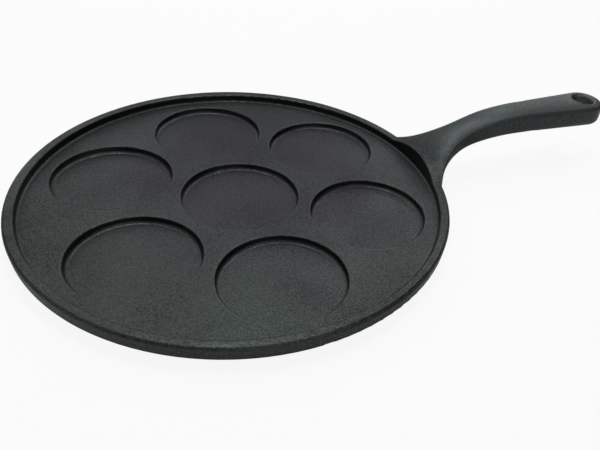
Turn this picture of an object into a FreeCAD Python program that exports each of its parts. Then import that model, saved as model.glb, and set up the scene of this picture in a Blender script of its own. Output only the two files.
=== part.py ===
import FreeCAD, Part
import math
import os
import Sketcher
from enum import IntEnum, auto

# Cast iron pancake pan: a shallow round plate with a raised rim, seven round recesses,
# the flat pads that back them underneath, and a handle cast on with them in one piece.
# The origin is on the pan's axis, in the plane that its pads stand on. The handle points along +X.

NODE = "pancake_pan"

# Driving sizes: name, value in millimetres or degrees, and what it measures.
SIZES = [
    ("rim_radius", 122.5, "outside of the rim at its top, from the pan's axis"),
    ("rim_width", 5.7, "flat top of the rim, from the outside to the well"),
    ("rim_draft", 6.0, "slope of the rim's outer side, degrees from upright"),
    ("rim_outer_round", 1.8, "rounding of the rim's outer top edge"),
    ("rim_inner_round", 1.1, "rounding of the rim's inner top edge"),
    ("rim_base_round", 3.5, "rounding of the bottom corner under the rim"),
    ("well_depth", 5.0, "rim's top above the cooking face"),
    ("well_draft", 2.0, "slope of the well's wall, degrees from upright"),
    ("well_fillet", 1.4, "hollow corner between the well's wall and the cooking face"),
    ("plate_thickness", 4.5, "cooking face to the plate's underside"),
    ("recess_gap", 8.0, "cooking face left between two neighbouring recesses"),
    ("recess_margin", 8.3, "cooking face left between an outer recess and the well's wall"),
    ("recess_depth", 4.0, "cooking face to the floor of a recess"),
    ("recess_draft", 11.0, "slope of a recess's wall, degrees from upright"),
    ("recess_fillet", 2.0, "hollow corner round the floor of a recess"),
    ("recess_round", 0.7, "rounding of a recess's mouth"),
    ("floor_thickness", 4.5, "metal under the floor of a recess"),
    ("pad_margin", 1.5, "how far a pad reaches past its recess's mouth"),
    ("pad_draft", 10.0, "slope of a pad's side, degrees from upright"),
    ("pad_round", 1.4, "rounding of a pad's bottom edge"),
    ("pad_fillet", 1.4, "hollow corner between a pad and the plate"),
    ("flare_radius", 36.0, "hollow flare from the rim to the neck, seen from above"),
    ("neck_half_width", 9.5, "half the handle's width at the neck"),
    ("grip_half_width", 13.5, "half the handle's width at its round end"),
    ("root_inset", 4.8, "how far inside the well's wall the handle starts, in the plate"),
    ("level_reach", 82.0, "rim's outside to where the handle becomes level"),
    ("grip_length", 43.8, "level part of the handle, up to the centre of its round end"),
    ("root_top", 9.0, "handle's top at the well's wall, above the cooking face"),
    ("root_thickness", 10.5, "handle's thickness at the well's wall"),
    ("grip_top", 34.7, "handle's top where it is level, above the cooking face"),
    ("grip_thickness", 16.0, "handle's thickness where it is level"),
    ("root_crown", 6.2, "rise of the handle's rounded top across its width, at the root"),
    ("grip_crown", 1.3, "the same rise where the handle is level"),
    ("grip_round", 2.8, "rounding of the grip's long top edges"),
    ("foot_round", 4.8, "rounding of the grip's long bottom edges"),
    ("hole_wall", 6.3, "metal between the hanging hole's round end and the grip's side"),
    ("hole_tip_radius", 4.0, "narrow end of the hanging hole"),
    ("hole_slope", 50.0, "slope of the hole's straight sides, degrees from the handle's line"),
    ("hole_inset", 0.8, "centre of the handle's round end back to the centre of the hole's"),
    ("hole_round", 1.8, "rounding of the hole's upper edge"),
    ("hole_foot_round", 0.8, "rounding of the hole's lower edge"),
]

# Recesses in the ring round the middle one.
RING_COUNT = 6

# Where the handle's cross-sections are taken: degrees round the flare, counted back from the neck,
# then shares of the way from the neck to where the handle is level. The first section lies inside
# the plate and is as wide as the flare is at its own angle.
START_ANGLE = 70
FLARE_ANGLES = [62, 45, 28, 12]
ARCH_SHARES = [0.0, 0.2, 0.4, 0.6, 0.8]

# The most that a rounded edge of the handle takes of its section's side, and of the metal beside the
# hanging hole, so that a flat is left there.
SIDE_SHARE = 0.46
WALL_SHARE = 0.95

# Shares of an edge's length at which its place is looked at.
EDGE_SHARES = (0.0, 0.3, 0.6, 1.0)

# How near two places count as the same, in millimetres.
TOUCH = 0.01

# A whole turn, a quarter of it and a slope just short of that, in degrees.
TURN = 360
UPRIGHT_ANGLE = 90
NEARLY_UPRIGHT = 85

# What describes one cross-section of the handle.
SECTION_KEYS = ("half", "top", "bottom", "crown", "edge", "foot")


class Place(IntEnum):
    """Which point of a sketch line or arc a constraint holds."""

    START = auto()
    END = auto()
    CENTRE = auto()


class Frame(IntEnum):
    """The sketch's own lines, by the numbers that constraints know them by."""

    LEVEL = -1
    UPRIGHT = -2


START, END, CENTRE = Place
ORIGIN, LEVEL, UPRIGHT = Frame.LEVEL, Frame.LEVEL, Frame.UPRIGHT

doc = FreeCAD.newDocument("pancake_pan")


def write_sheet(name, rows):
    """Puts the driving sizes in a spreadsheet, one to a row, each under its own name."""
    sheet = doc.addObject("Spreadsheet::Sheet", name)
    for number, (alias, value, meaning) in enumerate(rows, start=1):
        sheet.set(f"A{number}", alias)
        sheet.set(f"B{number}", str(value))
        sheet.set(f"C{number}", meaning)
        sheet.setAlias(f"B{number}", alias)
    return sheet


sheet = write_sheet("sizes", SIZES)
doc.recompute()
pan = doc.addObject("PartDesign::Body", NODE)
pan.Label = NODE


def origin_feature(role):
    """The body's own origin plane or axis of that role."""
    return next(item for item in pan.Origin.OriginFeatures if item.Role == role)


def new_sketch(name, plane, offset=None):
    """A sketch on one of the body's own planes, or parallel to it at a distance given by an expression."""
    sketch = pan.newObject("Sketcher::SketchObject", name)
    sketch.AttachmentSupport = [(origin_feature(plane), "")]
    sketch.MapMode = "FlatFace"
    if offset:
        sketch.setExpression("AttachmentOffset.Base.z", offset)
    return sketch


def value(expression):
    """What an expression in the driving sizes comes to, for drawing a sketch near its final shape."""
    return float(pan.evalExpression(expression))


def drive(sketch, kind, places, expression):
    """Adds a dimension to a sketch and binds it to an expression in the driving sizes."""
    number = value(expression)
    if kind == "Angle":
        number = math.radians(number)
        expression = f"({expression}) * 1 deg"
    index = sketch.addConstraint(Sketcher.Constraint(kind, *places, number))
    sketch.setExpression(f"Constraints[{index}]", expression)


def draw_line(sketch, first, last):
    """A straight line between two points of the sketch plane."""
    line = Part.LineSegment(FreeCAD.Vector(*first, 0), FreeCAD.Vector(*last, 0))
    return sketch.addGeometry(line, False)


def draw_arc(sketch, centre, radius, first, last):
    """An arc about a point of the sketch plane, between two angles in degrees, anticlockwise."""
    circle = Part.Circle(FreeCAD.Vector(*centre, 0), FreeCAD.Vector(0, 0, 1), radius)
    return sketch.addGeometry(Part.ArcOfCircle(circle, math.radians(first), math.radians(last)), False)


def join(sketch, first, first_end, second, second_end, smooth=False):
    """Joins two lines or arcs end to end, tangent to each other where the joint is smooth."""
    kind = "Tangent" if smooth else "Coincident"
    sketch.addConstraint(Sketcher.Constraint(kind, first, first_end, second, second_end))


# Heights above the plane that the pads stand on, and radii, that follow from the driving sizes.
LAND = "(sizes.floor_thickness + sizes.recess_depth)"
RIM_TOP = f"({LAND} + sizes.well_depth)"
UNDERSIDE = f"({LAND} - sizes.plate_thickness)"
WELL_RADIUS = "(sizes.rim_radius - sizes.rim_width)"

# A row of three recesses just fits across the well, and six stand evenly round the middle one.
RECESS_RADIUS = f"(({WELL_RADIUS} - sizes.recess_gap - sizes.recess_margin) / 3)"
RING_RADIUS = f"({WELL_RADIUS} - sizes.recess_margin - {RECESS_RADIUS})"
PAD_RADIUS = f"({RECESS_RADIUS} + sizes.pad_margin)"
CUT_HEIGHT = f"({LAND} + sizes.grip_top)"
GRIP_MIDDLE = f"({LAND} + sizes.grip_top - sizes.grip_thickness / 2)"
RECESS_FLOOR = "sizes.floor_thickness"
PAD_TOP = f"({LAND} - sizes.plate_thickness / 2)"
PAN_AXIS = "0"
TABLE = "0"

# Places along the handle, from the pan's axis, and the hanging hole's size.
START_X = f"({WELL_RADIUS} - sizes.root_inset)"
LEVEL_X = "(sizes.rim_radius + sizes.level_reach)"
END_X = f"({LEVEL_X} + sizes.grip_length)"
HOLE_X = f"({END_X} - sizes.hole_inset)"
HOLE_RADIUS = "(sizes.grip_half_width - sizes.hole_wall)"
HOLE_LENGTH = f"(({HOLE_RADIUS} - sizes.hole_tip_radius) / sin(sizes.hole_slope * 1 deg))"

# The long edges' roundings at the grip and at the root, each limited by the metal it is cut from.
GRIP_SIDE = "(sizes.grip_thickness - sizes.grip_crown)"
GRIP_ROUND = (
    f"min(sizes.grip_round; {GRIP_SIDE} * {SIDE_SHARE};"
    f" (sizes.hole_wall - sizes.hole_round) * {WALL_SHARE})"
)
FOOT_ROUND = (
    f"min(sizes.foot_round; {GRIP_SIDE} * {SIDE_SHARE};"
    f" (sizes.hole_wall - sizes.hole_foot_round) * {WALL_SHARE})"
)
ROOT_ROUND = f"((sizes.root_thickness - sizes.root_crown) * {SIDE_SHARE})"

# The flare is an arc that touches the rim's outside and runs into the neck's side.
FLARE_CENTRE_Y = "(sizes.neck_half_width + sizes.flare_radius)"
NECK_X = f"sqrt((sizes.rim_radius + sizes.flare_radius) ^ 2 - {FLARE_CENTRE_Y} ^ 2)"

# The grip's straight taper starts as wide as the neck's side has swelled to, and at the same slope.
ARCH_RUN = f"({LEVEL_X} - {NECK_X})"
LEVEL_HALF_WIDTH = (
    f"((2 * sizes.grip_length * sizes.neck_half_width + {ARCH_RUN} * sizes.grip_half_width)"
    f" / (2 * sizes.grip_length + {ARCH_RUN}))"
)


def plate_blank():
    """The plate and its rim before the well is cut: a disc with a drafted side and rounded corners."""
    sketch = new_sketch("PlateProfile", "XZ_Plane")
    radius, bottom, top = value("sizes.rim_radius"), value(UNDERSIDE), value(RIM_TOP)
    corner, edge = value("sizes.rim_base_round"), value("sizes.rim_outer_round")
    under = draw_line(sketch, (0, bottom), (radius - corner, bottom))
    corner_arc = draw_arc(sketch, (radius - corner, bottom + corner), corner, -UPRIGHT_ANGLE, 0)
    side = draw_line(sketch, (radius, bottom + corner), (radius, top - edge))
    edge_arc = draw_arc(sketch, (radius - edge, top - edge), edge, 0, UPRIGHT_ANGLE)
    face = draw_line(sketch, (radius - edge, top), (0, top))
    axis = draw_line(sketch, (0, top), (0, bottom))
    join(sketch, under, END, corner_arc, START, smooth=True)
    join(sketch, corner_arc, END, side, START, smooth=True)
    join(sketch, side, END, edge_arc, START, smooth=True)
    join(sketch, edge_arc, END, face, START, smooth=True)
    join(sketch, face, END, axis, START)
    join(sketch, axis, END, under, START)
    sketch.addConstraint(Sketcher.Constraint("Horizontal", under))
    sketch.addConstraint(Sketcher.Constraint("Horizontal", face))
    sketch.addConstraint(Sketcher.Constraint("PointOnObject", under, START, UPRIGHT))
    sketch.addConstraint(Sketcher.Constraint("PointOnObject", face, END, UPRIGHT))
    drive(sketch, "DistanceY", (ORIGIN, START, under, START), UNDERSIDE)
    drive(sketch, "DistanceY", (ORIGIN, START, face, END), RIM_TOP)
    drive(sketch, "DistanceX", (ORIGIN, START, side, END), "sizes.rim_radius")
    drive(sketch, "Radius", (corner_arc,), "sizes.rim_base_round")
    drive(sketch, "Radius", (edge_arc,), "sizes.rim_outer_round")
    drive(sketch, "Angle", (under, START, side, START), f"{UPRIGHT_ANGLE} - sizes.rim_draft")
    blank = pan.newObject("PartDesign::Revolution", "Plate")
    blank.Profile = sketch
    blank.ReferenceAxis = (origin_feature("Z_Axis"), [""])
    blank.Angle = TURN
    return blank


def section_sizes(x, half_width):
    """The handle's section at a place: half-width, top, bottom, crown and the roundings of its edges.

    The top and the underside each rise from the root to the level grip on a cubic curve."""
    drop = f"min(1; (max(0; {LEVEL_X} - {x}) / ({LEVEL_X} - {WELL_RADIUS})) ^ 3)"
    top = f"({LAND} + sizes.grip_top - (sizes.grip_top - sizes.root_top) * {drop})"
    thickness = f"(sizes.grip_thickness - (sizes.grip_thickness - sizes.root_thickness) * {drop})"
    return {
        "x": x,
        "half": half_width,
        "top": top,
        "bottom": f"({top} - {thickness})",
        "crown": f"(sizes.grip_crown + (sizes.root_crown - sizes.grip_crown) * {drop})",
        "edge": f"({GRIP_ROUND} - ({GRIP_ROUND} - {ROOT_ROUND}) * {drop})",
        "foot": f"({FOOT_ROUND} - ({FOOT_ROUND} - {ROOT_ROUND}) * {drop})",
    }


def flare_half_width(angle):
    """Half the handle's width so many degrees round the flare."""
    return f"({FLARE_CENTRE_Y} - sizes.flare_radius * cos({angle} deg))"


def arch_sections():
    """Sections from inside the plate, round the flare and up the arch to where the handle is level."""
    places = [section_sizes(START_X, flare_half_width(START_ANGLE))]
    for angle in FLARE_ANGLES:
        x = f"({NECK_X} - sizes.flare_radius * sin({angle} deg))"
        places.append(section_sizes(x, flare_half_width(angle)))
    for share in ARCH_SHARES:
        x = f"({NECK_X} + {ARCH_RUN} * {share})"
        half = f"(sizes.neck_half_width + ({LEVEL_HALF_WIDTH} - sizes.neck_half_width) * {share} ^ 2)"
        places.append(section_sizes(x, half))
    places.append(section_sizes(LEVEL_X, LEVEL_HALF_WIDTH))
    return places


def crown_arc(half, crown, edge):
    """Radius of a section's crowned top, and how far round it and its edge arcs meet, in degrees."""
    radius = edge + ((half - edge) ** 2 + crown ** 2) / (2 * crown)
    return radius, math.degrees(math.asin(1 - crown / (radius - edge)))


def handle_section(name, place):
    """One cross-section of the handle: flat below, upright at the sides and crowned on top."""
    sketch = new_sketch(name, "YZ_Plane", place["x"])
    half, top, bottom, crown, edge, foot = (value(place[key]) for key in SECTION_KEYS)
    shoulder = top - crown - edge
    heel = bottom + foot
    radius, turn = crown_arc(half, crown, edge)
    under = draw_line(sketch, (foot - half, bottom), (half - foot, bottom))
    right_foot = draw_arc(sketch, (half - foot, heel), foot, -UPRIGHT_ANGLE, 0)
    right = draw_line(sketch, (half, heel), (half, shoulder))
    right_edge = draw_arc(sketch, (half - edge, shoulder), edge, 0, turn)
    over = draw_arc(sketch, (0, top - radius), radius, turn, TURN / 2 - turn)
    left_edge = draw_arc(sketch, (edge - half, shoulder), edge, TURN / 2 - turn, TURN / 2)
    left = draw_line(sketch, (-half, shoulder), (-half, heel))
    left_foot = draw_arc(sketch, (foot - half, heel), foot, TURN / 2, TURN - UPRIGHT_ANGLE)
    apex = sketch.addGeometry(Part.Point(FreeCAD.Vector(0, top, 0)), True)
    ring = [under, right_foot, right, right_edge, over, left_edge, left, left_foot]
    for first, second in zip(ring, ring[1:] + ring[:1]):
        join(sketch, first, END, second, START, smooth=True)
    sketch.addConstraint(Sketcher.Constraint("Horizontal", under))
    sketch.addConstraint(Sketcher.Constraint("Vertical", right))
    sketch.addConstraint(Sketcher.Constraint("Vertical", left))
    sketch.addConstraint(Sketcher.Constraint("Equal", right_edge, left_edge))
    sketch.addConstraint(Sketcher.Constraint("Equal", right_foot, left_foot))
    sketch.addConstraint(Sketcher.Constraint("PointOnObject", apex, START, over))
    sketch.addConstraint(Sketcher.Constraint("PointOnObject", apex, START, UPRIGHT))
    sketch.addConstraint(Sketcher.Constraint("PointOnObject", over, CENTRE, UPRIGHT))
    drive(sketch, "DistanceY", (ORIGIN, START, apex, START), place["top"])
    drive(sketch, "Radius", (right_edge,), place["edge"])
    drive(sketch, "Radius", (right_foot,), place["foot"])
    drive(sketch, "DistanceX", (ORIGIN, START, right, START), place["half"])
    drive(sketch, "DistanceX", (left, END, right, START), f"2 * {place['half']}")
    drive(sketch, "DistanceY", (ORIGIN, START, under, START), place["bottom"])
    height = f"{place['top']} - {place['crown']} - {place['edge']}"
    drive(sketch, "DistanceY", (ORIGIN, START, right_edge, CENTRE), height)
    return sketch


def drawn_through(name, places):
    """A bar drawn smoothly through its sections."""
    sketches = [handle_section(f"{name}Section{number}", place) for number, place in enumerate(places, 1)]
    bar = pan.newObject("PartDesign::AdditiveLoft", name)
    bar.Profile = sketches[0]
    bar.Sections = [(sketch, [""]) for sketch in sketches[1:]]
    bar.Ruled = False
    bar.Closed = False
    return bar


def handle_end(place):
    """The round end of the handle: half of the grip's section, turned about an upright axis."""
    sketch = new_sketch("HandleEndProfile", "XZ_Plane")
    half, top, bottom, crown, edge, foot = (value(place[key]) for key in SECTION_KEYS)
    middle = value(place["x"])
    reach = middle + half
    shoulder = top - crown - edge
    radius, turn = crown_arc(half, crown, edge)
    under = draw_line(sketch, (middle, bottom), (reach - foot, bottom))
    foot_arc = draw_arc(sketch, (reach - foot, bottom + foot), foot, -UPRIGHT_ANGLE, 0)
    side = draw_line(sketch, (reach, bottom + foot), (reach, shoulder))
    edge_arc = draw_arc(sketch, (reach - edge, shoulder), edge, 0, turn)
    over = draw_arc(sketch, (middle, top - radius), radius, turn, UPRIGHT_ANGLE)
    axis = draw_line(sketch, (middle, top), (middle, bottom))
    ring = [under, foot_arc, side, edge_arc, over]
    for first, second in zip(ring, ring[1:]):
        join(sketch, first, END, second, START, smooth=True)
    join(sketch, over, END, axis, START)
    join(sketch, axis, END, under, START)
    sketch.addConstraint(Sketcher.Constraint("Horizontal", under))
    sketch.addConstraint(Sketcher.Constraint("Vertical", side))
    sketch.addConstraint(Sketcher.Constraint("Vertical", axis))
    sketch.addConstraint(Sketcher.Constraint("PointOnObject", over, CENTRE, axis))
    drive(sketch, "Radius", (edge_arc,), place["edge"])
    drive(sketch, "Radius", (foot_arc,), place["foot"])
    drive(sketch, "DistanceX", (ORIGIN, START, under, START), place["x"])
    drive(sketch, "DistanceX", (axis, END, side, START), place["half"])
    drive(sketch, "DistanceY", (ORIGIN, START, under, START), place["bottom"])
    drive(sketch, "DistanceY", (ORIGIN, START, axis, START), place["top"])
    height = f"{place['top']} - {place['crown']} - {place['edge']}"
    drive(sketch, "DistanceY", (ORIGIN, START, edge_arc, CENTRE), height)
    return turned("Revolution", "HandleEnd", sketch, f"Edge{axis + 1}")


def bowl_profile(name, plane, middle, floor, mouth, mouth_radius, lid, draft, corner):
    """Half a round, flat-floored form with drafted sides, drawn beside its own upright axis.

    The mouth is the height at which the side has the given radius, and the lid is the top of the form."""
    sketch = new_sketch(name, plane)
    axis_x, low, high, rounding = (value(text) for text in (middle, floor, lid, corner))
    side_x = axis_x + value(mouth_radius)
    mouth_z = value(mouth)
    face = draw_line(sketch, (axis_x, low), (side_x - rounding, low))
    corner_arc = draw_arc(
        sketch, (side_x - rounding, low + rounding), rounding, -UPRIGHT_ANGLE, NEARLY_UPRIGHT - UPRIGHT_ANGLE
    )
    side = draw_line(sketch, (side_x, low + rounding), (side_x, high))
    top = draw_line(sketch, (side_x, high), (axis_x, high))
    axis = draw_line(sketch, (axis_x, high), (axis_x, low))
    mark = sketch.addGeometry(Part.Point(FreeCAD.Vector(side_x, mouth_z, 0)), True)
    join(sketch, face, END, corner_arc, START, smooth=True)
    join(sketch, corner_arc, END, side, START, smooth=True)
    join(sketch, side, END, top, START)
    join(sketch, top, END, axis, START)
    join(sketch, axis, END, face, START)
    sketch.addConstraint(Sketcher.Constraint("Horizontal", face))
    sketch.addConstraint(Sketcher.Constraint("Horizontal", top))
    sketch.addConstraint(Sketcher.Constraint("Vertical", axis))
    sketch.addConstraint(Sketcher.Constraint("PointOnObject", mark, START, side))
    if middle == PAN_AXIS:
        sketch.addConstraint(Sketcher.Constraint("PointOnObject", face, START, UPRIGHT))
    else:
        drive(sketch, "DistanceX", (ORIGIN, START, face, START), middle)
    if floor == TABLE:
        sketch.addConstraint(Sketcher.Constraint("PointOnObject", face, START, LEVEL))
    else:
        drive(sketch, "DistanceY", (ORIGIN, START, face, START), floor)
    drive(sketch, "DistanceY", (ORIGIN, START, top, END), lid)
    drive(sketch, "DistanceY", (ORIGIN, START, mark, START), mouth)
    drive(sketch, "DistanceX", (axis, END, mark, START), mouth_radius)
    drive(sketch, "Radius", (corner_arc,), corner)
    drive(sketch, "Angle", (face, START, side, START), f"{UPRIGHT_ANGLE} - {draft}")
    return sketch, f"Edge{axis + 1}"


def turned(kind, name, profile, axis):
    """Turns a profile once round its axis, to add metal (Revolution) or to cut it (Groove)."""
    feature = pan.newObject(f"PartDesign::{kind}", name)
    feature.Profile = profile
    feature.ReferenceAxis = (profile, [axis])
    feature.Angle = TURN
    return feature


def well():
    """Cuts all that stands above the cooking face inside the rim, the handle's start too."""
    profile, axis = bowl_profile(
        "WellProfile", "XZ_Plane", PAN_AXIS, LAND, RIM_TOP, WELL_RADIUS, CUT_HEIGHT,
        "sizes.well_draft", "sizes.well_fillet",
    )
    return turned("Groove", "Well", profile, axis)


def pad(name, plane, middle):
    """A flat round pad under one recess, on which the pan stands."""
    profile, axis = bowl_profile(
        f"{name}Profile", plane, middle, TABLE, UNDERSIDE, PAD_RADIUS, PAD_TOP,
        "sizes.pad_draft", "sizes.pad_round",
    )
    return turned("Revolution", name, profile, axis)


def recess(name, plane, middle):
    """One round recess in the cooking face."""
    profile, axis = bowl_profile(
        f"{name}Profile", plane, middle, RECESS_FLOOR, LAND, RECESS_RADIUS, RIM_TOP,
        "sizes.recess_draft", "sizes.recess_fillet",
    )
    return turned("Groove", name, profile, axis)


def ring_of(name, feature):
    """Repeats a feature evenly round the pan's axis."""
    pattern = pan.newObject("PartDesign::PolarPattern", name)
    pattern.Originals = [feature]
    pattern.Axis = (origin_feature("Z_Axis"), [""])
    pattern.Angle = TURN
    pattern.Occurrences = RING_COUNT
    pan.Tip = pattern
    return pattern


def hanging_hole():
    """The hanging hole: a teardrop, with its point towards the pan, right through the handle."""
    sketch = new_sketch("HoleOutline", "XY_Plane")
    big, small = value(HOLE_RADIUS), value("sizes.hole_tip_radius")
    centre = value(HOLE_X)
    tip = centre - value(HOLE_LENGTH)
    turn = UPRIGHT_ANGLE + value("sizes.hole_slope")
    side_x, side_y = math.cos(math.radians(turn)), math.sin(math.radians(turn))
    round_end = draw_arc(sketch, (centre, 0), big, -turn, turn)
    point_end = draw_arc(sketch, (tip, 0), small, turn, TURN - turn)
    upper = draw_line(
        sketch, (centre + big * side_x, big * side_y), (tip + small * side_x, small * side_y)
    )
    lower = draw_line(
        sketch, (tip + small * side_x, -small * side_y), (centre + big * side_x, -big * side_y)
    )
    join(sketch, round_end, END, upper, START, smooth=True)
    join(sketch, upper, END, point_end, START, smooth=True)
    join(sketch, point_end, END, lower, START, smooth=True)
    join(sketch, lower, END, round_end, START, smooth=True)
    sketch.addConstraint(Sketcher.Constraint("PointOnObject", round_end, CENTRE, LEVEL))
    sketch.addConstraint(Sketcher.Constraint("PointOnObject", point_end, CENTRE, LEVEL))
    drive(sketch, "Radius", (round_end,), HOLE_RADIUS)
    drive(sketch, "Radius", (point_end,), "sizes.hole_tip_radius")
    drive(sketch, "DistanceX", (ORIGIN, START, round_end, CENTRE), HOLE_X)
    drive(sketch, "DistanceX", (point_end, CENTRE, round_end, CENTRE), HOLE_LENGTH)
    hole = pan.newObject("PartDesign::Pocket", "HangingHole")
    hole.Profile = sketch
    hole.Type = "ThroughAll"
    hole.Reversed = True
    return hole


def rounded(name, radius, wanted):
    """Rounds or fills the edges that the test picks out of the body as it stands."""
    doc.recompute()
    base = pan.Tip
    names = [f"Edge{n}" for n, edge in enumerate(base.Shape.Edges, start=1) if wanted(edge)]
    print(name, "edges:", len(names))
    feature = pan.newObject("PartDesign::Fillet", name)
    feature.Base = (base, names)
    feature.setExpression("Radius", radius)
    return feature


def circle_at(edge, radius, height):
    """Whether an edge lies on a level circle of that radius at that height."""
    if edge.Degenerated or not isinstance(edge.Curve, Part.Circle):
        return False
    circle = edge.Curve
    return abs(circle.Radius - value(radius)) < TOUCH and abs(circle.Center.z - value(height)) < TOUCH


def on_mouth(edge):
    """Whether an edge is the mouth of a recess."""
    return circle_at(edge, RECESS_RADIUS, LAND)


def on_pad_root(edge):
    """Whether an edge is where a pad leaves the plate's underside."""
    return circle_at(edge, PAD_RADIUS, UNDERSIDE)


def points_on(edge):
    """A few places along an edge."""
    first, last = edge.ParameterRange
    return [edge.valueAt(first + (last - first) * share) for share in EDGE_SHARES]


def on_well_lip(edge):
    """Whether an edge is the lip of the well: where its wall meets the rim's top or the handle."""
    slope = math.tan(math.radians(value("sizes.well_draft")))
    wall, top = value(WELL_RADIUS), value(RIM_TOP)
    for point in points_on(edge):
        leaves_wall = abs(math.hypot(point.x, point.y) - wall - (point.z - top) * slope) > TOUCH
        if leaves_wall or point.z < top - TOUCH:
            return False
    return True


def on_hole_edge(edge):
    """Whether an edge runs along the hole's outline, on the handle's top or underside."""
    outline = doc.getObject("HoleOutline").Shape
    points = points_on(edge)
    upright = abs(points[0].z - points[-1].z) > points[0].distanceToPoint(points[-1]) / 2
    feet = [Part.Vertex(point.x, point.y, 0) for point in points]
    return not upright and all(foot.distToShape(outline)[0] < TOUCH for foot in feet)


def on_hole_mouth(edge):
    """Whether an edge of the hole is on the handle's top."""
    return on_hole_edge(edge) and edge.CenterOfMass.z > value(GRIP_MIDDLE)


def on_hole_foot(edge):
    """Whether an edge of the hole is on the handle's underside."""
    return on_hole_edge(edge) and edge.CenterOfMass.z < value(GRIP_MIDDLE)


grip_start = section_sizes(LEVEL_X, LEVEL_HALF_WIDTH)
grip_end = section_sizes(END_X, "sizes.grip_half_width")
plate_blank()
drawn_through("Arch", arch_sections())
drawn_through("Grip", [grip_start, grip_end])
handle_end(grip_end)
pad("MiddlePad", "XZ_Plane", PAN_AXIS)
ring_of("PadRing", pad("OuterPad", "YZ_Plane", RING_RADIUS))
well()
recess("MiddleRecess", "XZ_Plane", PAN_AXIS)
ring_of("RecessRing", recess("OuterRecess", "YZ_Plane", RING_RADIUS))
hanging_hole()
rounded("MouthRounds", "sizes.recess_round", on_mouth)
rounded("PadFillets", "sizes.pad_fillet", on_pad_root)
rounded("HoleMouthRounds", "sizes.hole_round", on_hole_mouth)
rounded("HoleFootRounds", "sizes.hole_foot_round", on_hole_foot)
rounded("LipRounds", "sizes.rim_inner_round", on_well_lip)
doc.recompute()

failed = [item.Name for item in doc.Objects if "Invalid" in item.State or "Error" in item.State]
if failed:
    raise RuntimeError(f"these features failed: {failed}")
shape = pan.Shape
if shape.isNull() or not shape.isValid() or len(shape.Solids) != 1:
    raise RuntimeError("the pan is not one valid solid")
os.makedirs("parts", exist_ok=True)
shape.exportStep(os.path.join("parts", f"{pan.Label}.step"))
print(f"{pan.Label}: {shape.Volume / 1000:.1f} cubic centimetres, box {shape.BoundBox}")
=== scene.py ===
# %% [markdown]
# The cast iron pancake pan, dressed for its picture.
# A pan like this is one casting: sand is packed round a pattern, iron is poured, and the skin of the
# iron keeps the print of the sand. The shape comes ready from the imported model, so this script gives
# it what the model lacks: the skin of the iron, the oil baked into it, the light and the camera.

import math

import bpy
import numpy as np
from mathutils import Matrix, Vector


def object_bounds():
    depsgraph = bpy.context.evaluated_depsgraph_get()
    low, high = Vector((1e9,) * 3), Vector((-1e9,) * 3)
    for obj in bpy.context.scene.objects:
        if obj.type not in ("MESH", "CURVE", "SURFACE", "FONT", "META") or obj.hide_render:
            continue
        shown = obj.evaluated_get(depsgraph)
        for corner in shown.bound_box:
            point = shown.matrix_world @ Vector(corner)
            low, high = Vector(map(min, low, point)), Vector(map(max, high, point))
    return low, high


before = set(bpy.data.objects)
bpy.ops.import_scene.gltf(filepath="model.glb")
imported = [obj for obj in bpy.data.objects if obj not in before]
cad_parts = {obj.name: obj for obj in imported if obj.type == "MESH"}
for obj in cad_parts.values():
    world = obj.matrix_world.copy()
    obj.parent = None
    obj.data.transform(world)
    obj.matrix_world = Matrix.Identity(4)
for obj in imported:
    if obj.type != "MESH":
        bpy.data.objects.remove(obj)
model_low, model_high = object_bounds()
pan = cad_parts["pancake_pan"]
print("pan:", len(pan.data.polygons), "faces,", [round(v, 4) for v in model_high - model_low], "metres")

# %% [markdown]
# Everything below is in metres, in the model's own frame: the origin is on the pan's axis, in the
# plane that it stands on, and the handle points along +X. The sizes that the finishes need are worked
# out from the model's box, in the proportions that the casting has.

# %% Measure the casting
RIM_RADIUS = model_high.y
COOKING_FACE = RIM_RADIUS * 0.0694
RIM_TOP = RIM_RADIUS * 0.1102
WELL_RADIUS = RIM_RADIUS * 0.9535
RECESS_RING = RIM_RADIUS * 0.6122
HOLE_X = RIM_RADIUS * 2.015
print("rim radius", round(RIM_RADIUS, 4), "top", round(RIM_TOP, 4), "cooking face", round(COOKING_FACE, 4))

# %% [markdown]
# The model is made of flat facets, and its shading normals are averages over them, so a narrow
# rounding shows them as beads of light. Smaller facets would cure that, but the model's mesh is kept
# as it is. So a twin of the mesh is made, which stays out of the scene, and only its normals are
# worked on. The first step reads what the twin has at every corner of every facet.

# %% Read the corners of a twin mesh
twin_mesh = pan.data.copy()


def values_of(items, name, kind, width=1):
    """One value of every item, in rows where it has several parts."""
    values = np.empty(len(items) * width, kind)
    items.foreach_get(name, values)
    return values.reshape(-1, width) if width > 1 else values


def corner_values(mesh):
    """The normal, the place and the facet's area of every corner of the mesh."""
    normals = values_of(mesh.corner_normals, "vector", np.float32, 3).astype(float)
    places = values_of(mesh.vertices, "co", np.float32, 3).astype(float)
    areas = values_of(mesh.polygons, "area", np.float32)
    corners = values_of(mesh.polygons, "loop_total", np.int32)
    return normals, places[values_of(mesh.loops, "vertex_index", np.int32)], np.repeat(areas, corners)


normals, places, areas = corner_values(twin_mesh)
print("corners read:", len(normals))

# %% [markdown]
# On the casting, everything round the pan's axis, and everything round a recess's, faces straight away
# from that axis. Each normal there has the part that points sideways taken out, and the normals that
# meet at one place are then made one. The middle recess stands on the pan's own axis.

# %% Even out the normals
HANDLE_SECTOR = math.radians(20)
RECESS_REACH = RIM_RADIUS * 0.303
FILLET_REACH = 0.0017
TOUCH = 0.00002
SAME_SURFACE = math.cos(math.radians(32))
NO_LENGTH = 1e-12
PLACES_PER_METRE = 1e6
PAN_AXIS = (0.0, 0.0)
RECESS_TURNS = [math.radians(turn) for turn in range(30, 390, 60)]
RECESS_AXES = [(RECESS_RING * math.cos(turn), RECESS_RING * math.sin(turn)) for turn in RECESS_TURNS]


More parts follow.
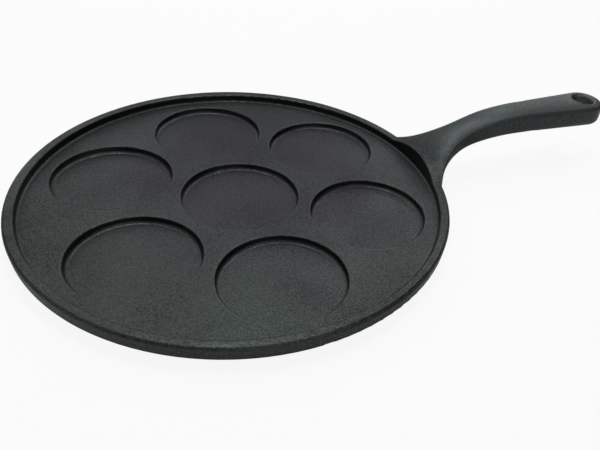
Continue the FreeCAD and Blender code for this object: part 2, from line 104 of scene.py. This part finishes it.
def unit(vectors):
    """Each vector at length one."""
    return vectors / np.maximum(np.linalg.norm(vectors, axis=1, keepdims=True), NO_LENGTH)


def face_the_axis(chosen, axis):
    """Takes out of the chosen normals the part that points sideways about an upright axis."""
    outward = unit(places[chosen, :2] - axis)
    sideways = np.column_stack((-outward[:, 1], outward[:, 0], np.zeros(len(outward))))
    share = (normals[chosen] * sideways).sum(axis=1, keepdims=True)
    normals[chosen] = unit(normals[chosen] - share * sideways)


def face_all_axes():
    """Turns the normals of the rim, the well's wall and the recesses straight away from their axes."""
    radius = np.hypot(places[:, 0], places[:, 1])
    clear_of_handle = np.abs(np.arctan2(places[:, 1], places[:, 0])) > HANDLE_SECTOR
    past_face = radius > WELL_RADIUS - FILLET_REACH
    on_wall = past_face & (radius < WELL_RADIUS + TOUCH)
    on_rim = past_face & (places[:, 2] < RIM_TOP + TOUCH) & clear_of_handle
    face_the_axis(on_wall | on_rim, PAN_AXIS)
    for axis in [PAN_AXIS] + RECESS_AXES:
        face_the_axis(np.hypot(places[:, 0] - axis[0], places[:, 1] - axis[1]) < RECESS_REACH, axis)


def joined_at_places():
    """The normals, where those that meet at one place on the same smooth surface are made one."""
    keys = np.round(places * PLACES_PER_METRE).astype(np.int64)
    order = np.lexsort(keys.T)
    starts = np.flatnonzero(np.any(np.diff(keys[order], axis=0, prepend=keys[order[:1]] - 1), axis=1))
    joined = normals.copy()
    for group in np.split(order, starts[1:]):
        alike = normals[group] @ normals[group].T > SAME_SURFACE
        joined[group] = (alike * areas[group]) @ normals[group]
    return unit(joined)


face_all_axes()
twin_mesh.normals_split_custom_set(joined_at_places().tolist())
print("recess axes:", len(RECESS_AXES), "normals set on the twin:", len(twin_mesh.corner_normals))

# %% [markdown]
# The pan gets the twin's normals through a modifier, which hands them over corner by corner, because
# both meshes have the same corners. Only how light runs over the iron changes. The facets stay.

# %% Lend the normals to the pan


def lend_normals(piece, mesh):
    """Shows a piece with the corner normals of another mesh that has the same corners."""
    lent = piece.modifiers.new("smooth_normals", "DATA_TRANSFER")
    lent.object = bpy.data.objects.new("smooth_normals", mesh)
    lent.use_object_transform = False
    lent.use_loop_data = True
    lent.data_types_loops = {"CUSTOM_NORMAL"}
    lent.loop_mapping = "TOPOLOGY"


lend_normals(pan, twin_mesh)
shown_mesh = pan.evaluated_get(bpy.context.evaluated_depsgraph_get()).data
shown_normals, twin_normals = corner_values(shown_mesh)[0], corner_values(twin_mesh)[0]
print("largest difference from the twin:", round(float(np.abs(shown_normals - twin_normals).max()), 5))

# %% [markdown]
# The photograph looks down on the pan from the front left, with the handle pointing to the right and
# away. A camera placed by eye would miss the outlines by some pixels, so this one stands where a fit
# to the rim and the recesses puts it. Its picture is moved sideways on the sensor, because the
# photograph was cut closer on one side.

# %% Place the camera
CAMERA_PLACE = Vector((-0.0854, -0.3008, 0.2288))
CAMERA_RIGHT = Vector((0.8960, -0.4290, 0.1150))
CAMERA_FORWARD = Vector((0.4070, 0.6870, -0.6030))
PHOTO_WIDTH = 600
FOCAL_PIXELS = 642.4
CENTRE_COLUMN = 374.6
SENSOR_WIDTH = 36.0
NEAREST, FARTHEST = 0.01, 20.0


def place_camera():
    """The photograph's camera, with its view built from where it looks and what lies to its right."""
    forward = CAMERA_FORWARD.normalized()
    right = (CAMERA_RIGHT - forward * CAMERA_RIGHT.dot(forward)).normalized()
    up = right.cross(forward)
    data = bpy.data.cameras.new("photo_camera")
    data.sensor_width = SENSOR_WIDTH
    data.lens = FOCAL_PIXELS / PHOTO_WIDTH * SENSOR_WIDTH
    data.shift_x = (PHOTO_WIDTH / 2 - CENTRE_COLUMN) / PHOTO_WIDTH
    data.clip_start, data.clip_end = NEAREST, FARTHEST
    camera = bpy.data.objects.new("photo_camera", data)
    turned = Matrix((right, up, -forward)).transposed().to_4x4()
    camera.matrix_world = Matrix.Translation(CAMERA_PLACE) @ turned
    bpy.context.scene.collection.objects.link(camera)
    bpy.context.scene.camera = camera
    return camera


camera = place_camera()
print("camera lens", round(camera.data.lens, 2), "mm, shift", round(camera.data.shift_x, 4))

# %% [markdown]
# A shop's photograph of black iron is lit by a soft light overhead and by weaker ones behind, more of
# them to the right. The flat faces catch the light, the walls that face the camera stay dark, and the
# rounded edges and hollow corners between the two draw themselves as light lines. Small lamps would
# draw hard glints on the grain, so all of these are wide. Two weak fills, in front and to the left,
# keep the iron readable from behind and from the handle's side too. Colours are shown as they are
# written, with no film curve over them.

# %% Set the lamps
AIM = Vector((0.03, 0.0, 0.0))


def soft_lamp(name, place, size, power):
    """A square area lamp at a place, turned to face the pan."""
    data = bpy.data.lights.new(name, "AREA")
    data.shape = "SQUARE"
    data.size = size
    data.energy = power
    lamp = bpy.data.objects.new(name, data)
    lamp.location = place
    lamp.rotation_mode = "QUATERNION"
    lamp.rotation_quaternion = (AIM - place).to_track_quat("-Z", "Y")
    bpy.context.scene.collection.objects.link(lamp)


LAMPS = {
    "overhead_softbox": (Vector((0.08, 0.10, 1.30)), 0.5, 6.7),
    "back_right_softbox": (Vector((0.42, 0.72, 1.15)), 0.7, 2.9),
    "back_left_softbox": (Vector((-0.33, 0.62, 1.05)), 0.8, 2.0),
    "low_right_softbox": (Vector((0.80, 0.60, 0.84)), 0.7, 1.45),
    "low_back_right_softbox": (Vector((0.90, 0.87, 0.45)), 0.6, 1.45),
    "low_back_left_softbox": (Vector((-0.19, 1.20, 0.45)), 0.8, 2.1),
    "front_fill": (Vector((0.25, -1.15, 0.65)), 1.2, 3.6),
    "left_fill": (Vector((-1.30, 0.00, 0.60)), 1.0, 1.9),
}
for name, (place, size, power) in LAMPS.items():
    soft_lamp(name, place, size, power)
bpy.context.scene.view_settings.view_transform = "Standard"
print("lamps:", list(LAMPS), "watts:", round(sum(power for place, size, power in LAMPS.values()), 1))

# %% [markdown]
# The pan stands in white surroundings. If they really shone white, the iron would mirror them and turn
# grey. So the camera is shown plain white, and what the iron mirrors or gets as light is darker, as in
# a studio whose walls are grey. The rays of a picture know what they were sent out by, so one share of
# white can be given to the camera's rays and a smaller one to mirrored ones.

# %% Mix plain white into what is lit
WHITE = (1.0, 1.0, 1.0, 1.0)


def emptied(owner):
    """The node tree of a material or a world, with nothing in it yet."""
    owner.use_nodes = True
    owner.node_tree.nodes.clear()
    return owner.node_tree


def feed(tree, socket, given):
    """Links another node's output to a socket, or sets the socket to a plain value."""
    if isinstance(given, bpy.types.NodeSocket):
        tree.links.new(given, socket)
    else:
        socket.default_value = given


def maths(tree, operation, *values):
    """A math node whose inputs are links or plain numbers."""
    node = tree.nodes.new("ShaderNodeMath")
    node.operation = operation
    for socket, value in zip(node.inputs, values):
        feed(tree, socket, value)
    return node.outputs[0]


def shown_white(tree, lit, white, to_camera, to_mirrors):
    """What is lit, mixed with white by one share for the camera and one for mirrors and clear things."""
    rays = tree.nodes.new("ShaderNodeLightPath")
    seen = maths(tree, "MULTIPLY", rays.outputs["Is Camera Ray"], to_camera)
    bounced = maths(tree, "MAXIMUM", rays.outputs["Is Glossy Ray"], rays.outputs["Is Transmission Ray"])
    share = maths(tree, "MULTIPLY_ADD", bounced, to_mirrors, seen)
    mix = tree.nodes.new("ShaderNodeMixShader")
    for socket, given in zip(mix.inputs, (share, lit, white)):
        tree.links.new(given, socket)
    return mix.outputs[0]


print("white is ready to mix in")

# %% [markdown]
# The floor is pale paper that runs past the picture on all sides. To the camera it is nearly plain
# white, so that from low down its far edge hardly shows either. The trace of real paper that is left
# keeps the pan's shadow, so the pan doesn't seem to float. The paper lies a hair under the pads, so
# that no two faces share a plane.

# %% Lay the floor
FLOOR_HALF = 3.0
FLOOR_GAP = 0.0001
FLOOR_COLOUR = (0.80, 0.80, 0.80, 1.0)
FLOOR_WHITE_SHARES = (0.9, 0.12)


def floor_material():
    """Pale paper that keeps a trace of the pan's shadow."""
    material = bpy.data.materials.new("pale_floor")
    tree = emptied(material)
    paper = tree.nodes.new("ShaderNodeBsdfDiffuse")
    paper.inputs["Color"].default_value = FLOOR_COLOUR
    white = tree.nodes.new("ShaderNodeEmission")
    white.inputs["Color"].default_value = WHITE
    surface = tree.nodes.new("ShaderNodeOutputMaterial")
    shown = shown_white(tree, paper.outputs[0], white.outputs[0], *FLOOR_WHITE_SHARES)
    tree.links.new(shown, surface.inputs["Surface"])
    return material


def lay_floor(height):
    """Lays a large flat square at a height."""
    mesh = bpy.data.meshes.new("floor")
    near, far = -FLOOR_HALF, FLOOR_HALF
    corners = [(near, near), (far, near), (far, far), (near, far)]
    mesh.from_pydata([(x, y, height) for x, y in corners], [], [(0, 1, 2, 3)])
    mesh.materials.append(floor_material())
    floor = bpy.data.objects.new("floor", mesh)
    bpy.context.scene.collection.objects.link(floor)


lay_floor(model_low.z - FLOOR_GAP)
print("floor laid", FLOOR_GAP, "metres under the pads")

# %% [markdown]
# Light from all round is dim and grey, and only fills the shadows a little. The camera sees these
# surroundings as white, to go on where the floor ends.

# %% Colour the surroundings
SKY_COLOUR = (0.01, 0.01, 0.01, 1.0)
SKY_WHITE_SHARES = (1.0, 0.08)


def colour_surroundings():
    """Dim grey light from all round, seen as white by the camera."""
    world = bpy.data.worlds.new("studio")
    tree = emptied(world)
    sky = tree.nodes.new("ShaderNodeBackground")
    sky.inputs["Color"].default_value = SKY_COLOUR
    white = tree.nodes.new("ShaderNodeBackground")
    white.inputs["Color"].default_value = WHITE
    surface = tree.nodes.new("ShaderNodeOutputWorld")
    shown = shown_white(tree, sky.outputs[0], white.outputs[0], *SKY_WHITE_SHARES)
    tree.links.new(shown, surface.inputs["Surface"])
    bpy.context.scene.world = world
    return world


print("surroundings:", colour_surroundings().name)

# %% [markdown]
# The skin, the oil and the wear below are node groups, built once, so that another iron can be made
# from them with other numbers. Each has named inputs, which are features to the metre, metres or plain
# shares, and gives heights, masks or tones. Their noise is worked out in three dimensions from the
# place on the object, so no face has to be unwrapped and no seam can show.

# %% Write the helpers for node groups


def group_with(name, inputs, outputs):
    """An empty node group with number sockets, its two ends, and the place on the object."""
    group = bpy.data.node_groups.new(name, "ShaderNodeTree")
    for direction, names in {"INPUT": inputs, "OUTPUT": outputs}.items():
        for label in names:
            group.interface.new_socket(label, in_out=direction, socket_type="NodeSocketFloat")
    given = group.nodes.new("NodeGroupInput").outputs
    result = group.nodes.new("NodeGroupOutput").inputs
    return group, given, result, group.nodes.new("ShaderNodeTexCoord").outputs["Object"]


def noise(tree, place, scale, detail, roughness=0.5):
    """The grey output of a noise texture, with a linked number of features to the metre."""
    node = tree.nodes.new("ShaderNodeTexNoise")
    inputs = {"Vector": place, "Scale": scale, "Detail": detail, "Roughness": roughness}
    for label, given in inputs.items():
        feed(tree, node.inputs[label], given)
    return node.outputs["Fac"]


def spread(tree, value, low, high, start=0.0, end=1.0):
    """Stretches the part of a value between low and high to run smoothly from start to end."""
    node = tree.nodes.new("ShaderNodeMapRange")
    node.interpolation_type = "SMOOTHSTEP"
    inputs = {"Value": value, "From Min": low, "From Max": high, "To Min": start, "To Max": end}
    for label, given in inputs.items():
        feed(tree, node.inputs[label], given)
    return node.outputs["Result"]


def labels(group):
    """The names of a group's inputs and outputs."""
    return [item.name for item in group.interface.items_tree]


print("helpers ready")

# %% [markdown]
# The skin of a casting is the print of the sand it was poured in. Grains of about a millimetre stand
# close together, finer ones lie between them, and over some centimetres the mould was never quite
# flat. Grains cut into the mesh would take millions of faces for a tenth of a millimetre, so they are
# a height that only turns the light. The group also gives the print's pits, where oil settles, and
# which the colour darkens also as painted shade.

# %% Make the print of the sand
PIT_HEIGHTS = (0.66, 0.34)


def sand_print():
    """Height of the sand's print, and its pits, from 0 to 1."""
    group, given, result, place = group_with(
        "sand_print", ["Grains per metre", "Waves per metre", "Wave height"], ["Height", "Pits"]
    )
    grains = noise(group, place, given["Grains per metre"], detail=3.0, roughness=0.62)
    waves = noise(group, place, given["Waves per metre"], detail=2.0)
    lifted = maths(group, "MULTIPLY", waves, given["Wave height"])
    group.links.new(maths(group, "ADD", grains, lifted), result["Height"])
    group.links.new(spread(group, grains, *PIT_HEIGHTS), result["Pits"])
    return group


sand = sand_print()
print("group", sand.name, labels(sand))

# %% [markdown]
# Oil that is baked on in many thin coats never lies even. Painting its clouds by hand would have to be
# done again for every change of the shape, and noise gives them anywhere. The group gives the oil's
# tone in slow clouds with finer flecks, and a second, slower cloud that turns the black a little
# towards violet or green.

# %% Make the baked oil
MIDDLE_TONE = 0.5
TINT_TONES = (0.4, 0.6)


def baked_oil():
    """How thick the baked oil looks and which way its black leans, from about 0 to 1."""
    group, given, result, place = group_with(
        "baked_oil",
        ["Clouds per metre", "Flecks per metre", "Fleck share", "Tints per metre"],
        ["Tone", "Tint"],
    )
    clouds = noise(group, place, given["Clouds per metre"], detail=3.0)
    flecks = noise(group, place, given["Flecks per metre"], detail=2.0)
    flecks = maths(group, "SUBTRACT", flecks, MIDDLE_TONE)
    group.links.new(maths(group, "MULTIPLY_ADD", flecks, given["Fleck share"], clouds), result["Tone"])
    tints = noise(group, place, given["Tints per metre"], detail=1.0)
    group.links.new(spread(group, tints, *TINT_TONES), result["Tint"])
    return group


oil = baked_oil()
print("group", oil.name, labels(oil))

# %% [markdown]
# Hands, cloths and turners rub the corners of a pan, and the mark makes them a lighter grey. On the
# hollow corners, and in part on the ones that stand out, that lighter grey is a painted highlight for
# the light lines that the roundings catch. The bevel node turns the normal near a corner, one that
# stands out or a hollow one, so the angle between it and the surface's own normal marks the corners
# wherever the shape has them. Noise breaks the mark up, because nothing is rubbed evenly.

# %% Make the worn edges and their painted highlights
BEVEL_SAMPLES = 6
CORNER_COSINES = (0.998, 0.96)
PATCH_TONES = (0.38, 0.62)
PATCH_SHARES = (0.35, 1.0)


def own_normal(tree):
    """The surface's own normal."""
    return tree.nodes.new("ShaderNodeNewGeometry").outputs["Normal"]


def worn_edges_and_painted_highlights():
    """Where corners are worn, and where they get a painted highlight, from 0 to 1."""
    group, given, result, place = group_with("worn_edges_and_painted_highlights", ["Reach", "Patches per metre"], ["Mask"])
    softened = group.nodes.new("ShaderNodeBevel")
    softened.samples = BEVEL_SAMPLES
    group.links.new(given["Reach"], softened.inputs["Radius"])
    cosine = group.nodes.new("ShaderNodeVectorMath")
    cosine.operation = "DOT_PRODUCT"
    group.links.new(softened.outputs["Normal"], cosine.inputs[0])
    group.links.new(own_normal(group), cosine.inputs[1])
    corner = spread(group, cosine.outputs["Value"], *CORNER_COSINES)
    patches = noise(group, place, given["Patches per metre"], detail=3.0)
    patches = spread(group, patches, *PATCH_TONES, *PATCH_SHARES)
    # The colour makes these corners lighter: wear, and a painted highlight.
    group.links.new(maths(group, "MULTIPLY", corner, patches), result["Mask"])
    return group


edges = worn_edges_and_painted_highlights()
print("group", edges.name, labels(edges))

# %% [markdown]
# A palm polishes the long shoulders of the handle, which tilt between its top and its sides. Their
# lighter grey is that polish and also a painted highlight, the bright ridge that light draws along
# them. The wall of the hanging hole, which stands upright, is painted pale grey: painted light in a
# hole that the lamps leave dark. The group finds both by place and by tilt, so they follow the shape.
# A tilt is the upward part of the normal: 1 on a level face, 0 on a wall.

# %% Mark the shoulders' polish and painted highlight, and the painted light in the hole
SHOULDER_TILTS = (0.2, 0.65)
LEVEL_TILTS = (0.995, 0.9)
LEVEL_SHARES = (0.35, 1.0)
HOLE_LIGHT_CORE = 0.85
HOLE_LIGHT_TILTS = (0.75, 0.35)


def parts(tree, vector):
    """The X, Y and Z of a linked vector."""
    node = tree.nodes.new("ShaderNodeSeparateXYZ")
    tree.links.new(vector, node.inputs[0])
    return node.outputs


def length_of(tree, first, second):
    """The length of a flat vector, from its two parts."""
    squares = [maths(tree, "MULTIPLY", part, part) for part in (first, second)]
    return maths(tree, "SQRT", maths(tree, "ADD", *squares))


def steep(tree, tilt, tilts):
    """How steep a face is, up or down, from 0 to 1 between two tilts."""
    return spread(tree, maths(tree, "ABSOLUTE", tilt), *tilts)


def handle_polish_and_painted_light():
    """Polished shoulders with a painted highlight, and painted light on the hole's wall, from 0 to 1."""
    group, given, result, place = group_with(
        "handle_polish_and_painted_light", ["Handle from", "Fade", "Hook reach"], ["Palm", "Hook"]
    )
    axes, tilt = parts(group, place), parts(group, own_normal(group))["Z"]
    full = maths(group, "ADD", given["Handle from"], given["Fade"])
    along = spread(group, axes["X"], given["Handle from"], full)
    level = spread(group, tilt, *LEVEL_TILTS, *LEVEL_SHARES)
    tilted = maths(group, "MULTIPLY", spread(group, tilt, *SHOULDER_TILTS), level)
    # The shoulders: polish, and a painted highlight along them.
    group.links.new(maths(group, "MULTIPLY", tilted, along), result["Palm"])
    apart = length_of(group, maths(group, "SUBTRACT", axes["X"], HOLE_X), axes["Y"])
    core = maths(group, "MULTIPLY", given["Hook reach"], HOLE_LIGHT_CORE)
    near = spread(group, apart, given["Hook reach"], core)
    # The hole's wall: painted light.
    group.links.new(maths(group, "MULTIPLY", near, steep(group, tilt, HOLE_LIGHT_TILTS)), result["Hook"])
    return group


handle_polish_and_light = handle_polish_and_painted_light()
print("group", handle_polish_and_light.name, labels(handle_polish_and_light))

# %% [markdown]
# In use, the recesses keep more oil than the face around them. The steep walls of the recesses and
# of the well get painted shade: they are made blacker for the shade that falls on them. The group
# marks the recess floors by height, because they are the only upward faces lower than the cooking
# face, and the walls by their steepness, as far out as the well goes.

# %% Mark the recess floors and the walls
FLOOR_TILTS = (0.2, 0.8)
WALL_TILTS = (0.6, 0.3)


def inside_of_the_pan():
    """Recess floors and steep walls inside the well, each from 0 to 1."""
    group, given, result, place = group_with(
        "inside_of_the_pan", ["Below", "Fade", "Well", "Lip"], ["Floors", "Walls"]
    )
    axes, tilt = parts(group, place), parts(group, own_normal(group))["Z"]
    full = maths(group, "SUBTRACT", given["Below"], given["Fade"])
    under = spread(group, axes["Z"], given["Below"], full)
    upward = spread(group, tilt, *FLOOR_TILTS)
    group.links.new(maths(group, "MULTIPLY", under, upward), result["Floors"])
    full = maths(group, "SUBTRACT", given["Well"], given["Lip"])
    within = spread(group, length_of(group, axes["X"], axes["Y"]), given["Well"], full)
    # The walls mask gives painted shade on the steep walls.
    group.links.new(maths(group, "MULTIPLY", within, steep(group, tilt, WALL_TILTS)), result["Walls"])
    return group


inside = inside_of_the_pan()
print("group", inside.name, labels(inside))

# %% [markdown]
# Over the burner, where the plate is hottest, the baked oil turns from a greenish black towards violet.
# Heat spreads past the flame, so the mark is wide and soft. It lies a little off the pan's middle, as a
# pan is seldom set down true on its burner.

# %% Mark where the plate is hottest
HOT_PLACE = (RIM_RADIUS * 0.15, RIM_RADIUS * 0.25, COOKING_FACE)


def hot_middle():
    """Where the burner heats the plate most, from 0 to 1."""
    group, given, result, place = group_with("hot_middle", ["Reach", "Fade"], ["Mask"])
    apart = group.nodes.new("ShaderNodeVectorMath")
    apart.operation = "DISTANCE"
    group.links.new(place, apart.inputs[0])
    apart.inputs[1].default_value = HOT_PLACE
    full = maths(group, "SUBTRACT", given["Reach"], given["Fade"])
    group.links.new(spread(group, apart.outputs["Value"], given["Reach"], full), result["Mask"])
    return group


hot = hot_middle()
print("group", hot.name, labels(hot))

# %% [markdown]
# These are the numbers of this iron for every group. A coarser casting would have fewer grains to the
# metre, and a pan that was used longer would have wider rubbed edges. What is named per metre is a
# number of features, the wave height and the fleck share are plain shares, and the rest are metres.

# %% Give the effects the iron's own values
EFFECTS = [sand, oil, edges, handle_polish_and_light, inside, hot]
IRON_VALUES = {
    "sand_print": {"Grains per metre": 1150.0, "Waves per metre": 45.0, "Wave height": 0.5},
    "baked_oil": {
        "Clouds per metre": 22.0,
        "Flecks per metre": 420.0,
        "Fleck share": 0.35,
        "Tints per metre": 11.0,
    },
    "worn_edges_and_painted_highlights": {"Reach": 0.0016, "Patches per metre": 260.0},
    "handle_polish_and_painted_light": {"Handle from": RIM_RADIUS * 0.98, "Fade": 0.02, "Hook reach": 0.0105},
    "inside_of_the_pan": {
        "Below": COOKING_FACE,
        "Fade": 0.0015,
        "Well": WELL_RADIUS * 1.005,
        "Lip": 0.0004,
    },
    "hot_middle": {"Reach": RIM_RADIUS * 0.9, "Fade": RIM_RADIUS * 0.5},
}


def placed_effects(tree, values):
    """The outputs of every effect, placed in a material with the material's own values."""
    marks = {}
    for group in EFFECTS:
        node = tree.nodes.new("ShaderNodeGroup")
        node.node_tree = group
        for label, value in values[group.name].items():
            node.inputs[label].default_value = value
        marks[group.name] = node.outputs
    return marks


print("effects:", [group.name for group in EFFECTS])

# %% [markdown]
# The colour of seasoned iron is a black that is deepest where the oil is thick, and in the sand's
# pits, where oil settles and where the black is also painted shade. On the walls the black is painted
# shade. It leans to violet where it was hottest, most of all in the recesses, and to green elsewhere.
# Wear makes corners and the handle's shoulders greyer, and that grey is also a painted highlight. The
# hole's wall is painted pale grey as painted light. One black for all of it would look like paint.

# %% Mix the colour of the iron
GREENISH = (0.0535, 0.0650, 0.0625, 1.0)
VIOLET = (0.0600, 0.0603, 0.0690, 1.0)
# Grey for wear and painted highlight, pale grey for painted light, black also for painted shade.
WEAR_AND_PAINTED_HIGHLIGHT = (0.1080, 0.1270, 0.1255, 1.0)
PAINTED_HOLE_LIGHT = (0.1900, 0.2000, 0.1950, 1.0)
BLACK = (0.0100, 0.0100, 0.0100, 1.0)
VIOLET_ON_FACE = 0.6
VIOLET_MORE_IN_RECESSES = 0.35
VIOLET_IN_PATCHES = 0.2
OIL_TONES = (0.35, 0.75)
OIL_BLACK_SHARES = (0.0, 0.25)
PIT_OIL_AND_SHADE_SHARE = 0.62
WALL_SHADE_SHARE = 0.85
WEAR_AND_HIGHLIGHT_SHARE = 0.38


def blend(tree, share, first, second):
    """A mix of two colours, each a link or a plain colour."""
    node = tree.nodes.new("ShaderNodeMix")
    node.data_type = "RGBA"
    for label, given in {"Factor": share, "A": first, "B": second}.items():
        feed(tree, next(item for item in node.inputs if item.name == label and item.enabled), given)
    return next(item for item in node.outputs if item.enabled)


def iron_colour(tree, marks):
    """The colour of oiled and baked cast iron, with painted shade and painted light in it."""
    baked, within, handle_marks = marks["baked_oil"], marks["inside_of_the_pan"], marks["handle_polish_and_painted_light"]
    burnt = maths(tree, "MULTIPLY_ADD", within["Floors"], VIOLET_MORE_IN_RECESSES, VIOLET_ON_FACE)
    patches = maths(tree, "MULTIPLY", baked["Tint"], VIOLET_IN_PATCHES)
    lean = maths(tree, "MULTIPLY_ADD", marks["hot_middle"]["Mask"], burnt, patches)
    tinted = blend(tree, lean, GREENISH, VIOLET)
    thick = spread(tree, baked["Tone"], *OIL_TONES, *OIL_BLACK_SHARES)
    # The pits are darker for the oil in them, and as painted shade.
    hollow = maths(tree, "MULTIPLY_ADD", marks["sand_print"]["Pits"], PIT_OIL_AND_SHADE_SHARE, thick)
    # Painted shade: the walls are made blacker for the shade that falls on them.
    painted_wall_shade = maths(tree, "MULTIPLY", within["Walls"], WALL_SHADE_SHARE)
    black = blend(tree, maths(tree, "MAXIMUM", hollow, painted_wall_shade), tinted, BLACK)
    # Worn corners and shoulders turn greyer, and this grey is also a painted highlight.
    wear_and_highlight = maths(tree, "MAXIMUM", marks["worn_edges_and_painted_highlights"]["Mask"], handle_marks["Palm"])
    greyed = blend(tree, maths(tree, "MULTIPLY", wear_and_highlight, WEAR_AND_HIGHLIGHT_SHARE), black, WEAR_AND_PAINTED_HIGHLIGHT)
    # The hole's wall is painted pale grey as painted light.
    return blend(tree, handle_marks["Hook"], greyed, PAINTED_HOLE_LIGHT)


print("violet", VIOLET_ON_FACE, "over the burner, black", PIT_OIL_AND_SHADE_SHARE, "in the pits")

# %% [markdown]
# An even sheen would look like plastic. On the iron it varies: it is dull in the pits, and brighter on
# rubbed corners and where oil pools. The iron mirrors as a metal under its oil, and the print of the
# sand is its relief.

# %% Dress the pan
SHEEN_TONES = (0.3, 0.7)
ROUGHNESSES = (0.37, 0.45)
PITS_ROUGHER = 0.12
EDGES_SMOOTHER = -0.08
RECESSES_SMOOTHER = -0.03
METALLIC = 0.85
PRINT_STRENGTH = 1.0
PRINT_DEPTH = 0.00020


def iron_roughness(tree, marks):
    """How rough the oiled iron is."""
    rough = spread(tree, marks["baked_oil"]["Tone"], *SHEEN_TONES, *ROUGHNESSES)
    for mark, change in (
        (marks["sand_print"]["Pits"], PITS_ROUGHER),
        (marks["worn_edges_and_painted_highlights"]["Mask"], EDGES_SMOOTHER),
        (marks["inside_of_the_pan"]["Floors"], RECESSES_SMOOTHER),
    ):
        rough = maths(tree, "MULTIPLY_ADD", mark, change, rough)
    return rough


def iron_relief(tree, marks):
    """The normal that the print of the sand gives."""
    bump = tree.nodes.new("ShaderNodeBump")
    bump.inputs["Strength"].default_value = PRINT_STRENGTH
    bump.inputs["Distance"].default_value = PRINT_DEPTH
    tree.links.new(marks["sand_print"]["Height"], bump.inputs["Height"])
    return bump.outputs["Normal"]


def seasoned_iron(name):
    """Oiled and baked cast iron."""
    material = bpy.data.materials.new(name)
    tree = emptied(material)
    shader = tree.nodes.new("ShaderNodeBsdfPrincipled")
    surface = tree.nodes.new("ShaderNodeOutputMaterial")
    tree.links.new(shader.outputs[0], surface.inputs["Surface"])
    marks = placed_effects(tree, IRON_VALUES)
    tree.links.new(iron_colour(tree, marks), shader.inputs["Base Color"])
    tree.links.new(iron_roughness(tree, marks), shader.inputs["Roughness"])
    tree.links.new(iron_relief(tree, marks), shader.inputs["Normal"])
    shader.inputs["Metallic"].default_value = METALLIC
    return material


iron = seasoned_iron("seasoned_cast_iron")
for slot in pan.material_slots:
    slot.material = iron
print("finished", [slot.material.name for slot in pan.material_slots])
